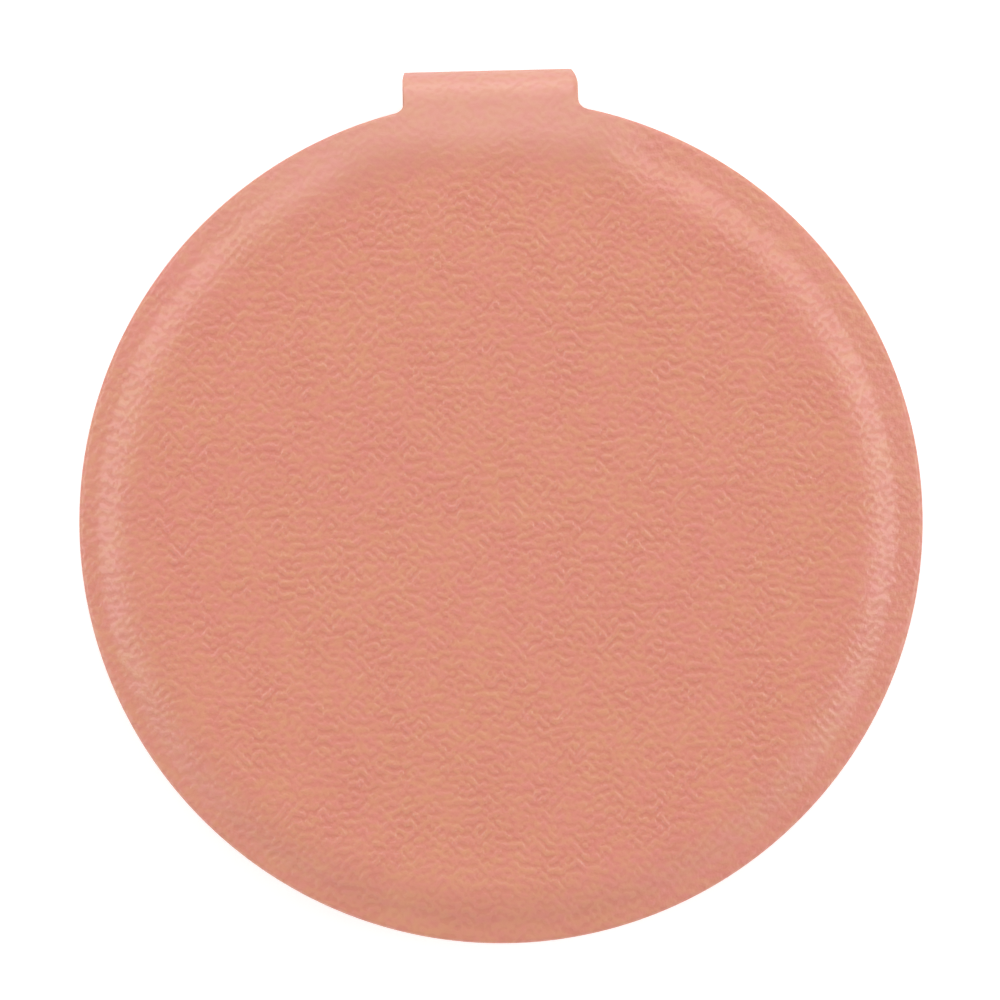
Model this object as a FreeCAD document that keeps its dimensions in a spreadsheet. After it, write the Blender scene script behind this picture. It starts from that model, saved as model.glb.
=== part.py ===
import FreeCAD
import Part
import Sketcher
import os

# A round folding compact mirror: two padded leather leaves that a leather fold joins at the back.
# The frame has its origin under the middle of the closed compact, on the surface that it lies on.
# +Z is up and +Y points at the hinge. Every leaf is drawn as the lower one, from its outside inwards,
# and the upper leaf is the same drawing turned over about the Y axis.

# Driving dimensions in millimetres. A name that ends in share is a plain ratio.
SIZES = {
    "disc_diameter": 70.0,
    # thicknesses of the layers, from the outside in
    "cover_thickness": 0.7,
    "foam_thickness": 0.9,
    "board_thickness": 0.8,
    "tape_thickness": 0.2,
    "mirror_thickness": 1.4,
    "lining_thickness": 0.6,
    "leaf_gap": 0.2,
    # the cover's form: flat margin, padded shoulder, rounded rim
    "flange_width": 1.5,
    "shoulder_width": 4.0,
    "crest_share": 0.73,
    "rim_rounding": 0.6,
    # what lies under the cover
    "glue_line": 0.05,
    "foam_inset": 0.3,
    "foam_edge_share": 0.75,
    # the mirror, its ring and the lip that holds it
    "mirror_clearance": 0.2,
    "mirror_seam": 0.3,
    "lip_width": 1.0,
    "tape_inset": 4.0,
    "lining_setback": 0.15,
    "lining_rounding": 0.2,
    "magnifier_radius": 800.0,
    "magnifier_margin": 0.5,
    # the closing magnets
    "magnet_diameter": 4.0,
    "magnet_thickness": 1.5,
    "magnet_bed": 0.1,
    "pocket_clearance": 0.05,
    "pocket_wall": 0.475,
    # the leather fold
    "strap_width": 14.5,
    "strap_root_fillet": 1.2,
    "strap_land": 0.05,
    "bend_share": 0.6,
    "hinge_lining_thickness": 0.5,
    "hinge_lining_inset": 0.5,
}

# Radii that the layers share, as expressions over the sheet's cells.
DISC_RADIUS = "(sizes.disc_diameter / 2)"
MARGIN_RADIUS = f"({DISC_RADIUS} - sizes.flange_width)"
CROWN_RADIUS = f"({MARGIN_RADIUS} - sizes.shoulder_width)"
WALL_RADIUS = f"({DISC_RADIUS} - sizes.cover_thickness)"
INSERT_RADIUS = f"({WALL_RADIUS} - sizes.glue_line)"
POCKET_RADIUS = "(sizes.magnet_diameter / 2 + sizes.pocket_clearance)"
POCKET_PITCH_RADIUS = f"({INSERT_RADIUS} - sizes.pocket_wall - {POCKET_RADIUS})"
SEAT_RADIUS = f"({POCKET_PITCH_RADIUS} - {POCKET_RADIUS} - sizes.pocket_wall)"
MIRROR_RADIUS = f"({SEAT_RADIUS} - sizes.mirror_clearance)"
TAPE_RADIUS = f"({MIRROR_RADIUS} - sizes.tape_inset)"
WINDOW_RADIUS = f"({MIRROR_RADIUS} - sizes.lip_width)"
LINING_RADIUS = f"({DISC_RADIUS} - sizes.lining_setback)"

# Levels in a leaf, counted inwards from its outer face. The lining clears both the glass and the magnet.
FOAM_LEVEL = "sizes.cover_thickness"
BOARD_LEVEL = f"({FOAM_LEVEL} + sizes.foam_thickness)"
RING_LEVEL = f"({BOARD_LEVEL} + sizes.board_thickness)"
MIRROR_LEVEL = f"({RING_LEVEL} + sizes.tape_thickness)"
GLASS_LEVEL = f"({MIRROR_LEVEL} + sizes.mirror_thickness)"
MAGNET_LEVEL = f"({RING_LEVEL} + sizes.magnet_bed)"
LINING_LEVEL = f"max({GLASS_LEVEL}; {MAGNET_LEVEL} + sizes.magnet_thickness)"
LEAF_THICKNESS = f"({LINING_LEVEL} + sizes.lining_thickness)"
CLOSED_THICKNESS = f"(2 * {LEAF_THICKNESS} + sizes.leaf_gap)"

# The shoulder is a crest arc and a foot arc that meet with one tangent. A rise over a width sets the
# sum of their radii and the slope where they meet, and the crest's share splits both rise and width.
RISE = "sizes.foam_thickness"
WIDTH = "sizes.shoulder_width"
ARC_SUM = f"(({WIDTH} ^ 2 + {RISE} ^ 2) / (2 * {RISE}))"
SLOPE_SINE = f"(2 * {WIDTH} * {RISE} / ({WIDTH} ^ 2 + {RISE} ^ 2))"
SLOPE_COSINE = f"(({WIDTH} ^ 2 - {RISE} ^ 2) / ({WIDTH} ^ 2 + {RISE} ^ 2))"
CREST_ARC = f"(sizes.crest_share * {ARC_SUM})"
FOOT_ARC = f"((1 - sizes.crest_share) * {ARC_SUM})"

# The hinge: the tab's root fillet touches the disc's edge, then comes a short land and the bend.
HALF_STRAP = "(sizes.strap_width / 2)"
FILLET_X = f"({HALF_STRAP} + sizes.strap_root_fillet)"
FILLET_REACH = f"({DISC_RADIUS} + sizes.strap_root_fillet)"
FILLET_Y = f"(({FILLET_REACH} ^ 2 - {FILLET_X} ^ 2) ^ 0.5)"
FILLET_FOOT_RATIO = f"({DISC_RADIUS} / {FILLET_REACH})"
BEND_Y = f"({FILLET_Y} + sizes.strap_land)"
HALF_FOLD = f"({CLOSED_THICKNESS} / 2 - {RISE})"
BEND_RADIUS = f"(sizes.bend_share * {HALF_FOLD})"
UPPER_FOLD_LEVEL = f"({CLOSED_THICKNESS} - {RISE})"

doc = FreeCAD.newDocument("compact_mirror")
sheet = doc.addObject("Spreadsheet::Sheet", "sizes")
for row, (alias, number) in enumerate(SIZES.items(), start=1):
    sheet.set(f"A{row}", alias)
    sheet.set(f"B{row}", str(number))
    sheet.setAlias(f"B{row}", alias)
doc.recompute()


def measure(expression):
    """The number that an expression over the sheet's cells gives."""
    return float(sheet.evalExpression(expression))


def new_body(name):
    """An empty body whose label names the sub-part's file."""
    body = doc.addObject("PartDesign::Body", name)
    body.Label = name
    return body


def new_sketch(body, name, role, level="0"):
    """A sketch on one of the body's own origin planes, raised along that plane's normal by level."""
    plane = next(item for item in body.Origin.OriginFeatures if item.Role == role)
    sketch = body.newObject("Sketcher::SketchObject", f"{body.Name}_{name}")
    sketch.AttachmentSupport = [(plane, "")]
    sketch.MapMode = "FlatFace"
    sketch.setExpression("AttachmentOffset.Base.z", level)
    return sketch


def bind(sketch, kind, first, second, name, expression):
    """Add a dimension between two points, given as (curve, end), and bind it to an expression."""
    index = sketch.addConstraint(Sketcher.Constraint(kind, *first, *second, measure(expression)))
    sketch.renameConstraint(index, name)
    sketch.setExpression(f"Constraints.{name}", expression)


def pin(sketch, point, name, place):
    """Hold a point, given as (curve, end), at a place given as two expressions from the sketch's origin."""
    origin = (-1, 1)
    crossed_axes = (-2, -1)
    for kind, letter, axis, expression in zip(("DistanceX", "DistanceY"), "xy", crossed_axes, place):
        distance = measure(expression)
        if distance == 0:
            sketch.addConstraint(Sketcher.Constraint("PointOnObject", *point, axis))
        elif distance > 0:
            bind(sketch, kind, origin, point, f"{name}_{letter}", expression)
        else:
            bind(sketch, kind, point, origin, f"{name}_{letter}", f"-({expression})")


def arc_between(start, end, radius, turn):
    """An arc under a half circle from start to end, turning left for +1 and right for -1.

    Its centre lies on the chord's bisector, to the left of the chord for a left turn.
    """
    chord = end - start
    left = FreeCAD.Vector(-chord.y, chord.x, 0).normalize()
    sagging = (radius**2 - (chord.Length / 2) ** 2) ** 0.5
    centre = (start + end) / 2 + left * sagging * turn
    middle = centre - left * radius * turn
    return Part.Arc(start, middle, end)


def draw_outline(sketch, steps):
    """Draw a closed outline and pin every corner of it.

    A step is (x, y), the corner that a line goes to, or (x, y, radius, turn) for an arc. The outline
    starts at the last step's corner. All but the turn are expressions.
    """
    corners = [FreeCAD.Vector(measure(step[0]), measure(step[1]), 0) for step in steps]
    ends = []
    for index, step in enumerate(steps):
        start, end = corners[index - 1], corners[index]
        if len(step) == 2:
            curve = sketch.addGeometry(Part.LineSegment(start, end))
            ends.append(((curve, 1), (curve, 2)))
            continue
        radius, turn = step[2:]
        curve = sketch.addGeometry(arc_between(start, end, measure(radius), turn))
        ends.append(((curve, 1), (curve, 2)) if turn > 0 else ((curve, 2), (curve, 1)))
        limit = sketch.addConstraint(Sketcher.Constraint("Radius", curve, measure(radius)))
        sketch.renameConstraint(limit, f"arc_{index}")
        sketch.setExpression(f"Constraints.arc_{index}", radius)
    for index, step in enumerate(steps):
        following = ends[(index + 1) % len(steps)][0]
        sketch.addConstraint(Sketcher.Constraint("Coincident", *ends[index][1], *following))
        pin(sketch, ends[index][1], f"corner_{index}", step[:2])


def draw_circle(sketch, radius, place=("0", "0"), name="circle"):
    """Draw a circle of a given radius around a place and pin it."""
    centre = FreeCAD.Vector(measure(place[0]), measure(place[1]), 0)
    normal = FreeCAD.Vector(0, 0, 1)
    curve = sketch.addGeometry(Part.Circle(centre, normal, measure(radius)))
    limit = sketch.addConstraint(Sketcher.Constraint("Radius", curve, measure(radius)))
    sketch.renameConstraint(limit, f"{name}_radius")
    sketch.setExpression(f"Constraints.{name}_radius", radius)
    pin(sketch, (curve, 3), name, place)


def pad(body, sketch, length, both_ways=False):
    """Pad a sketch along its normal, or by half the length to each side."""
    feature = body.newObject("PartDesign::Pad", f"{sketch.Name}_pad")
    feature.Profile = sketch
    feature.setExpression("Length", length)
    feature.SideType = "Symmetric" if both_ways else "One side"
    doc.recompute()
    return feature


def revolve(body, sketch, kind="PartDesign::Revolution"):
    """Turn a sketch once round the vertical axis, to add material or, as a Groove, to take it away."""
    feature = body.newObject(kind, f"{sketch.Name}_turned")
    feature.Profile = sketch
    feature.ReferenceAxis = (sketch, ["V_Axis"])
    feature.Angle = 360
    doc.recompute()
    return feature


def rims_at(feature, level, *radii):
    """The names of a feature's circular edges at a level that have one of the given radii."""
    height = measure(level)
    wanted = [measure(radius) for radius in radii]
    hair = 1e-6
    names = []
    for index, edge in enumerate(feature.Shape.Edges, start=1):
        curve = edge.Curve
        if curve.TypeId != "Part::GeomCircle" or abs(curve.Center.z - height) > hair:
            continue
        if any(abs(curve.Radius - radius) < hair for radius in wanted):
            names.append(f"Edge{index}")
    return names


def ease_rims(body, kind, size_name, size, level, *radii):
    """Chamfer or fillet the body's circular edges at a level that have one of the given radii."""
    carrier = body.Tip
    feature = body.newObject(kind, f"{body.Name}_eased")
    feature.Base = (carrier, rims_at(carrier, level, *radii))
    feature.setExpression(size_name, size)
    doc.recompute()


def cover(leaf):
    """The formed leather: flat crown, padded shoulder, flat margin, rounded rim and the hinge's tab."""
    body = new_body(f"{leaf}_cover")
    thickness = "sizes.cover_thickness"
    crest_x = f"({CROWN_RADIUS} + sizes.crest_share * {WIDTH})"
    crest_z = f"(sizes.crest_share * {RISE})"
    profile = new_sketch(body, "profile", "XZ_Plane")
    draw_outline(profile, [
        ("0", "0"),
        (CROWN_RADIUS, "0"),
        (crest_x, crest_z, CREST_ARC, 1),
        (MARGIN_RADIUS, RISE, FOOT_ARC, -1),
        (f"{DISC_RADIUS} - sizes.rim_rounding", RISE),
        (DISC_RADIUS, f"{RISE} + sizes.rim_rounding", "sizes.rim_rounding", 1),
        (DISC_RADIUS, LINING_LEVEL),
        (WALL_RADIUS, LINING_LEVEL),
        (WALL_RADIUS, BOARD_LEVEL),
        (MARGIN_RADIUS, BOARD_LEVEL),
        (
            f"{crest_x} - {thickness} * {SLOPE_SINE}",
            f"{crest_z} + {thickness} * {SLOPE_COSINE}",
            f"{FOOT_ARC} + {thickness}",
            1,
        ),
        (CROWN_RADIUS, FOAM_LEVEL, f"{CREST_ARC} - {thickness}", -1),
        ("0", FOAM_LEVEL),
    ])
    revolve(body, profile)

    foot_x = f"({FILLET_X} * {FILLET_FOOT_RATIO})"
    foot_y = f"({FILLET_Y} * {FILLET_FOOT_RATIO})"
    root_radius = f"({DISC_RADIUS} - sizes.flange_width / 2)"
    root_ratio = f"({root_radius} / {DISC_RADIUS})"
    tab = new_sketch(body, "tab", "XY_Plane", RISE)
    draw_outline(tab, [
        (foot_x, foot_y),
        (HALF_STRAP, FILLET_Y, "sizes.strap_root_fillet", -1),
        (HALF_STRAP, BEND_Y),
        (f"-{HALF_STRAP}", BEND_Y),
        (f"-{HALF_STRAP}", FILLET_Y),
        (f"-{foot_x}", foot_y, "sizes.strap_root_fillet", -1),
        (f"-{foot_x} * {root_ratio}", f"{foot_y} * {root_ratio}"),
        (f"{foot_x} * {root_ratio}", f"{foot_y} * {root_ratio}", root_radius, -1),
    ])
    pad(body, tab, thickness)
    return body


def foam_pad(leaf):
    """The soft disc under the cover, its crown drawn in at the edge to follow the cover's shoulder."""
    body = new_body(f"{leaf}_foam_pad")
    flat_radius = f"({CROWN_RADIUS} - sizes.foam_inset)"
    edge_arc = f"({CREST_ARC} - sizes.cover_thickness)"
    edge_rise = "(sizes.foam_edge_share * sizes.foam_thickness)"
    edge_radius = f"({flat_radius} + (2 * {edge_arc} * {edge_rise} - {edge_rise} ^ 2) ^ 0.5)"
    profile = new_sketch(body, "profile", "XZ_Plane")
    draw_outline(profile, [
        ("0", FOAM_LEVEL),
        (flat_radius, FOAM_LEVEL),
        (edge_radius, f"{FOAM_LEVEL} + {edge_rise}", edge_arc, 1),
        (edge_radius, BOARD_LEVEL),
        ("0", BOARD_LEVEL),
    ])
    revolve(body, profile)
    return body


def plain_disc(name, radius, level, thickness, place=("0", "0")):
    """A die-cut disc: one circle padded by its thickness."""
    body = new_body(name)
    blank = new_sketch(body, "blank", "XY_Plane", level)
    draw_circle(blank, radius, place)
    pad(body, blank, thickness)
    return body


def seamed_mirror(leaf):
    """A glass disc whose front edge is ground to a small bevel."""
    body = plain_disc(f"{leaf}_mirror", MIRROR_RADIUS, MIRROR_LEVEL, "sizes.mirror_thickness")
    ease_rims(body, "PartDesign::Chamfer", "Size", "sizes.mirror_seam", GLASS_LEVEL, MIRROR_RADIUS)
    return body


def hollow_grind(body):
    """Grind a mirror's front to part of a sphere, which makes it magnify."""
    radius = f"({WINDOW_RADIUS} - sizes.magnifier_margin)"
    depth = f"(sizes.magnifier_radius - (sizes.magnifier_radius ^ 2 - {radius} ^ 2) ^ 0.5)"
    solid_volume = body.Shape.Volume
    hollow = new_sketch(body, "hollow", "XZ_Plane")
    draw_outline(hollow, [
        ("0", f"{GLASS_LEVEL} - {depth}"),
        (radius, GLASS_LEVEL, "sizes.magnifier_radius", 1),
        ("0", GLASS_LEVEL),
    ])
    revolve(body, hollow, "PartDesign::Groove")
    if body.Shape.Volume >= solid_volume:
        raise RuntimeError("the magnifying mirror's hollow took nothing away")


def frame_ring(leaf):
    """The ring that the mirror is let into, with a hole through it for the magnet at the front."""
    body = new_body(f"{leaf}_frame_ring")
    blank = new_sketch(body, "blank", "XY_Plane", RING_LEVEL)
    draw_circle(blank, INSERT_RADIUS, name="rim")
    draw_circle(blank, SEAT_RADIUS, name="seat")
    draw_circle(blank, POCKET_RADIUS, ("0", f"-{POCKET_PITCH_RADIUS}"), name="pocket")
    pad(body, blank, f"{LINING_LEVEL} - {RING_LEVEL}")
    return body


def lining(leaf):
    """The thin leather ring over the frame and the mirror's edge, with both inner-face edges eased."""
    body = new_body(f"{leaf}_lining")
    blank = new_sketch(body, "blank", "XY_Plane", LINING_LEVEL)
    draw_circle(blank, LINING_RADIUS, name="rim")
    draw_circle(blank, WINDOW_RADIUS, name="window")
    pad(body, blank, "sizes.lining_thickness")
    rims = (LINING_RADIUS, WINDOW_RADIUS)
    ease_rims(body, "PartDesign::Fillet", "Radius", "sizes.lining_rounding", LEAF_THICKNESS, *rims)
    return body


def folded_ply(name, outer_radius, thickness, width):
    """A strip bent in a U round the back edge: two quarter bends with a flat back between them."""
    body = new_body(name)
    inner_radius = f"({outer_radius} - {thickness})"
    lower = f"({RISE} + {BEND_RADIUS})"
    upper = f"({UPPER_FOLD_LEVEL} - {BEND_RADIUS})"
    outer_back = f"({BEND_Y} + {outer_radius})"
    inner_back = f"({BEND_Y} + {inner_radius})"
    section = new_sketch(body, "section", "YZ_Plane")
    draw_outline(section, [
        (BEND_Y, f"{lower} - {outer_radius}"),
        (outer_back, lower, outer_radius, 1),
        (outer_back, upper),
        (BEND_Y, f"{upper} + {outer_radius}", outer_radius, 1),
        (BEND_Y, f"{upper} + {inner_radius}"),
        (inner_back, upper, inner_radius, -1),
        (inner_back, lower),
        (BEND_Y, f"{lower} - {inner_radius}", inner_radius, -1),
    ])
    pad(body, section, width, both_ways=True)
    return body


def leaf_pieces(leaf):
    """All the pieces of one leaf, drawn as the lower leaf."""
    mirror = seamed_mirror(leaf)
    if leaf == "base":
        hollow_grind(mirror)
    magnet_radius = "(sizes.magnet_diameter / 2)"
    magnet_place = ("0", f"-{POCKET_PITCH_RADIUS}")
    magnet_thickness = "sizes.magnet_thickness"
    return [
        cover(leaf),
        foam_pad(leaf),
        plain_disc(f"{leaf}_board", INSERT_RADIUS, BOARD_LEVEL, "sizes.board_thickness"),
        plain_disc(f"{leaf}_mirror_tape", TAPE_RADIUS, RING_LEVEL, "sizes.tape_thickness"),
        mirror,
        frame_ring(leaf),
        lining(leaf),
        plain_disc(f"{leaf}_magnet", magnet_radius, MAGNET_LEVEL, magnet_thickness, magnet_place),
    ]


def turn_over(body):
    """Turn a piece of the lower leaf over, to its place in the upper leaf."""
    body.Placement = FreeCAD.Placement(FreeCAD.Vector(), FreeCAD.Rotation(FreeCAD.Vector(0, 1, 0), 180))
    body.setExpression("Placement.Base.z", CLOSED_THICKNESS)


base_pieces = leaf_pieces("base")
lid_pieces = leaf_pieces("lid")
for piece in lid_pieces:
    turn_over(piece)

hinge_strap = folded_ply("hinge_strap", BEND_RADIUS, "sizes.cover_thickness", "sizes.strap_width")
hinge_lining = folded_ply(
    "hinge_lining",
    f"({BEND_RADIUS} - sizes.cover_thickness - sizes.glue_line)",
    "sizes.hinge_lining_thickness",
    "(sizes.strap_width - 2 * sizes.hinge_lining_inset)",
)
doc.recompute()

pieces = base_pieces + lid_pieces + [hinge_strap, hinge_lining]
for item in doc.Objects:
    if {"Invalid", "Error"} & set(item.State):
        raise RuntimeError(f"{item.Label} failed: {item.State}")
for piece in pieces:
    if piece.Shape.isNull() or not piece.Shape.isValid() or len(piece.Shape.Solids) != 1:
        raise RuntimeError(f"{piece.Label} is not one sound solid")

os.makedirs("parts", exist_ok=True)
for piece in pieces:
    piece.Shape.exportStep(f"parts/{piece.Label}.step")
    print(f"{piece.Label}: {piece.Shape.Volume:.2f} mm3, {piece.Shape.optimalBoundingBox()}")
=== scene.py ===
from math import radians

import bmesh
import bpy
import numpy as np
from mathutils import Matrix, Vector


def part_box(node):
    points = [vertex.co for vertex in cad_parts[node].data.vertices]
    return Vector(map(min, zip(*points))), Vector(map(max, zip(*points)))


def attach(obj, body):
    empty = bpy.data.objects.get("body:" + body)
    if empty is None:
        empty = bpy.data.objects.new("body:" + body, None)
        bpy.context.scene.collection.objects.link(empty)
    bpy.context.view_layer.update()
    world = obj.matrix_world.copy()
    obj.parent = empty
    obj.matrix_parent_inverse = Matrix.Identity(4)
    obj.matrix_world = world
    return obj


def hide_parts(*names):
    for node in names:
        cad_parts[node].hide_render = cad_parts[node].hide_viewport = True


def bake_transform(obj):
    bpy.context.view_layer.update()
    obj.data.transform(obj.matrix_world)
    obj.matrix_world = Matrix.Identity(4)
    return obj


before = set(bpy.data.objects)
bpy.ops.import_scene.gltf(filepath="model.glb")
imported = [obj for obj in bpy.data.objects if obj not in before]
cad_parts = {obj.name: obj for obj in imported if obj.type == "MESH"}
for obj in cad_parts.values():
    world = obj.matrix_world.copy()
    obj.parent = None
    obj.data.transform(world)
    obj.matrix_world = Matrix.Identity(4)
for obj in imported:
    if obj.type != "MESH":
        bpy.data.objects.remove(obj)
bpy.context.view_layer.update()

# A round folding compact mirror in grained leather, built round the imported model. Lengths are in metres.
# A height is counted from a leaf's outer face inwards, so both leaves share one set of shapes.
MM = 0.001

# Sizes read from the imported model
DISC_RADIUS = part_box("base_cover")[1].x
CLOSED_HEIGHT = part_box("lid_cover")[1].z
MIDDLE_HEIGHT = CLOSED_HEIGHT / 2
FOLD_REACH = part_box("hinge_strap")[1].y
HALF_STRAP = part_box("hinge_strap")[1].x
HALF_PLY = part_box("hinge_lining")[1].x
FOAM_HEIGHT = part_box("base_foam_pad")[0].z
FOAM_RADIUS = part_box("base_foam_pad")[1].x
BOARD_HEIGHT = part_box("base_board")[0].z
MIRROR_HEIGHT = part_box("base_mirror")[0].z
MIRROR_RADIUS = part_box("base_mirror")[1].x
LINING_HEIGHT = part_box("base_lining")[0].z
LINING_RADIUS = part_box("base_lining")[1].x
LEAF_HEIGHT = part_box("base_lining")[1].z

# The leather's form: crest and foot of the padded shoulder, sloping margin, rounded rim
LEATHER_THICKNESS = 0.7 * MM
MARGIN_THICKNESS = 0.6 * MM
CREST_START = 29.7 * MM
CREST_END = 32.55 * MM
FOOT_END = 33.4 * MM
STEEPEST = radians(25.5)
CROWN_SHIFTS = {"base": (0.20 * MM, -0.15 * MM), "lid": (-0.37 * MM, -0.42 * MM)}
RIPPLE_DEPTH = 0.16 * MM
RIPPLE_COUNT = 9
RIPPLE_LENGTHS = (9.0 * MM, 26.0 * MM)
RIPPLE_WEIGHTS = (0.5, 1.1)
RIPPLE_FADE = 4.0 * MM
SEEDS = {"base": 11, "lid": 5}
MARGIN_SLOPE = radians(7.0)
FRONT_SLOPE = radians(5.0)
FRONT_TURN = radians(-165.0)
FRONT_SPREAD = (radians(25.0), radians(60.0))
RIM_ROUNDING = 0.4 * MM
RIM_STRETCH = 0.25
TAB_STRETCH = 0.72
STRETCH_FADE = 2.0 * MM
CUT_EASE = 0.08 * MM
WALL_INSIDE = DISC_RADIUS - LEATHER_THICKNESS
RING_RADIUS = DISC_RADIUS - RIM_ROUNDING * (1 - np.sin(MARGIN_SLOPE))
CREST_ARC = (CREST_END - CREST_START) / np.sin(STEEPEST)
FOOT_ARC = (FOOT_END - CREST_END) / (np.sin(STEEPEST) - np.sin(MARGIN_SLOPE))

# The hinge's tab: it leaves the crest at a steady slope, passes the disc's edge and turns down in one arc
TAB_SLOPE = radians(16.0)
TAB_SPREAD_LEFT = (radians(13.5), radians(60.0))
TAB_SPREAD_RIGHT = (radians(13.5), radians(27.0))
TAB_FILLET = 0.9 * MM
# each corner: its side, how far it is drawn in and over what length
TAB_CORNERS = ((-1.0, 0.16 * MM, 0.7 * MM), (1.0, 0.50 * MM, 1.2 * MM))
CORNER_START_SHARE = 0.3
PARED_START_SHARE = 0.5
PARED_WIDTH = 0.45 * MM
PARED_DEPTH = 0.13 * MM
PARED_MARK = 0.22
FILLET_X = HALF_STRAP + TAB_FILLET
FILLET_Y = np.sqrt((DISC_RADIUS + TAB_FILLET) ** 2 - FILLET_X**2)
FOOT_ANGLE = np.arctan2(FILLET_X, FILLET_Y)
TAB_CREST_START = 29.9 * MM
TAB_CREST_END = 32.6 * MM
TAB_CREST_ARC = (TAB_CREST_END - TAB_CREST_START) / np.sin(TAB_SLOPE)
TAB_CREST_DROP = TAB_CREST_ARC * (1 - np.cos(TAB_SLOPE))
FOLD_START = DISC_RADIUS
FOLD_DROP = TAB_CREST_DROP + (FOLD_START - TAB_CREST_END) * np.tan(TAB_SLOPE)
FOLD_ARC = (FOLD_REACH - FOLD_START) / (1 - np.sin(TAB_SLOPE))

# The inner ply of the fold, and the room that the wall behind it leaves
PLY_THICKNESS = 0.5 * MM
PLY_GLUE = 0.05 * MM
PLY_LEAD = 2.5 * MM
PLY_ROOM = 0.35 * MM
PLY_SIDE_STEP = 0.3 * MM
WALL_CLEARANCE = 0.03 * MM

# The foam cushion
FOAM_CLEARANCE = 0.02 * MM
FOAM_EDGE_WIDTH = 3.2 * MM
FOAM_EDGE_POWER = 1.25
FOAM_EDGE_SHARE = 0.86

# The lining and the glass
WINDOW_RADIUS = 28.0 * MM
LINING_ROUNDING = 0.2 * MM
WINDOW_ROUNDING = 0.4 * MM
GLASS_BEVEL = 0.3 * MM
GRIND_RADIUS = 800.0 * MM
GRIND_MARGIN = 0.5 * MM
GRIND_EDGE = WINDOW_RADIUS - GRIND_MARGIN

# How finely the surfaces are divided
TAB_COLUMNS = 56
TAB_CROWDING = 0.3
RIM_COLUMNS = 400
ROUND_COLUMNS = 288
FIRST_RING = 0.8 * MM
INNER_FIRST_RING = 4.0 * MM
CROWN_RINGS = 36
SHOULDER_RINGS = 30
INNER_CROWN_RINGS = 9
INNER_SHOULDER_RINGS = 12
ROUNDING_ROWS = 9
WALL_ROWS = 6
SPOKE_ROWS = 5
FILLET_ROWS = 13
FOLD_ROWS = 26
PLY_LINE_STEPS = 40
PLY_ARC_STEPS = 200
PLY_COLUMNS = 29
PLY_ROWS = 40
FOAM_EDGE_STEPS = 14
GLASS_RINGS = 40
SHARP_EDGE = radians(38.0)

# The mark of a point on the leather's raw side
RAW_SIDE = 1.0


def smooth_step(value, low, high):
    """0 below low, 1 above high, and 3t^2 - 2t^3 between them."""
    t = np.clip((value - low) / (high - low), 0.0, 1.0)
    return t * t * (3 - 2 * t)


class Blank:
    """The points and faces of one piece, gathered grid by grid.

    Each point also has its place on the flat leather, its depth into the cut and how far the leather is
    stretched there.
    """

    def __init__(self):
        self.points = np.zeros((0, 3))
        self.flats = np.zeros((0, 3))
        self.marks = np.zeros((0, 2))
        self.quads = []
        self.triangles = []

    def add(self, x, y, height, flat_x=None, flat_y=None, depth=0.0, stretch=0.0):
        """Store points given as arrays that broadcast together, and return their indices in that layout."""
        flat_x = x if flat_x is None else flat_x
        flat_y = y if flat_y is None else flat_y
        values = np.broadcast_arrays(x, y, height, flat_x, flat_y, height, depth, stretch)
        rows = np.stack(values, -1).reshape(-1, len(values))
        first = len(self.points)
        self.points = np.vstack([self.points, rows[:, :3]])
        self.flats = np.vstack([self.flats, rows[:, 3:6]])
        self.marks = np.vstack([self.marks, rows[:, 6:]])
        return first + np.arange(len(rows)).reshape(values[0].shape)

    def skin(self, *rows):
        """Fill the quads between neighbouring rows of indices."""
        grid = np.vstack(rows)
        corners = (grid[:-1, :-1], grid[:-1, 1:], grid[1:, 1:], grid[1:, :-1])
        self.quads.append(np.stack(corners, -1).reshape(-1, 4))

    def fan(self, middle, ring):
        """Fill the triangles between one middle point and a closed ring of indices."""
        middles = np.full(len(ring), middle)
        self.triangles.append(np.stack([middles, ring, np.roll(ring, -1)], -1))

    def make(self, name, leaf, material):
        """Make a piece in its leaf's place, with outward faces and with edges kept sharp by angle."""
        points = self.points.copy()
        if leaf == "lid":
            points[:, 2] = CLOSED_HEIGHT - points[:, 2]
        faces = [face for block in self.quads + self.triangles for face in block.tolist()]
        mesh = bpy.data.meshes.new(name)
        mesh.from_pydata(points.tolist(), [], faces)
        places = mesh.attributes.new("flat_place", "FLOAT_VECTOR", "POINT")
        places.data.foreach_set("vector", self.flats.astype(np.float32).ravel())
        for column, mark in enumerate(("cut_depth", "stretch")):
            values = mesh.attributes.new(mark, "FLOAT", "POINT")
            values.data.foreach_set("value", self.marks[:, column].astype(np.float32))
        shape = bmesh.new()
        shape.from_mesh(mesh)
        bmesh.ops.recalc_face_normals(shape, faces=shape.faces)
        shape.to_mesh(mesh)
        shape.free()
        mesh.shade_smooth()
        mesh.set_sharp_from_angle(angle=SHARP_EDGE)
        mesh.materials.append(material)
        piece = bpy.data.objects.new(name, mesh)
        bpy.context.scene.collection.objects.link(piece)
        return piece


def closed(ring):
    """A ring of indices with its first index again at the end."""
    return np.append(ring, ring[0])


# The leather's heights

def shoulder_height(radius):
    """Height of the pressed leather away from the hinge.

    Flat crown, then a crest arc c - sqrt(c^2 - u^2), then a foot arc that turns the slope back to the
    margin's, then the margin's straight slope.
    """
    along_crest = np.clip(radius - CREST_START, 0.0, CREST_END - CREST_START)
    crest = CREST_ARC - np.sqrt(CREST_ARC**2 - along_crest**2)
    along_foot = np.clip(radius - CREST_END, 0.0, FOOT_END - CREST_END)
    sine = np.sin(STEEPEST) - along_foot / FOOT_ARC
    foot = FOOT_ARC * (np.sqrt(1 - sine**2) - np.cos(STEEPEST))
    margin = np.clip(radius - FOOT_END, 0.0, None) * np.tan(MARGIN_SLOPE)
    return crest + foot + margin


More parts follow.
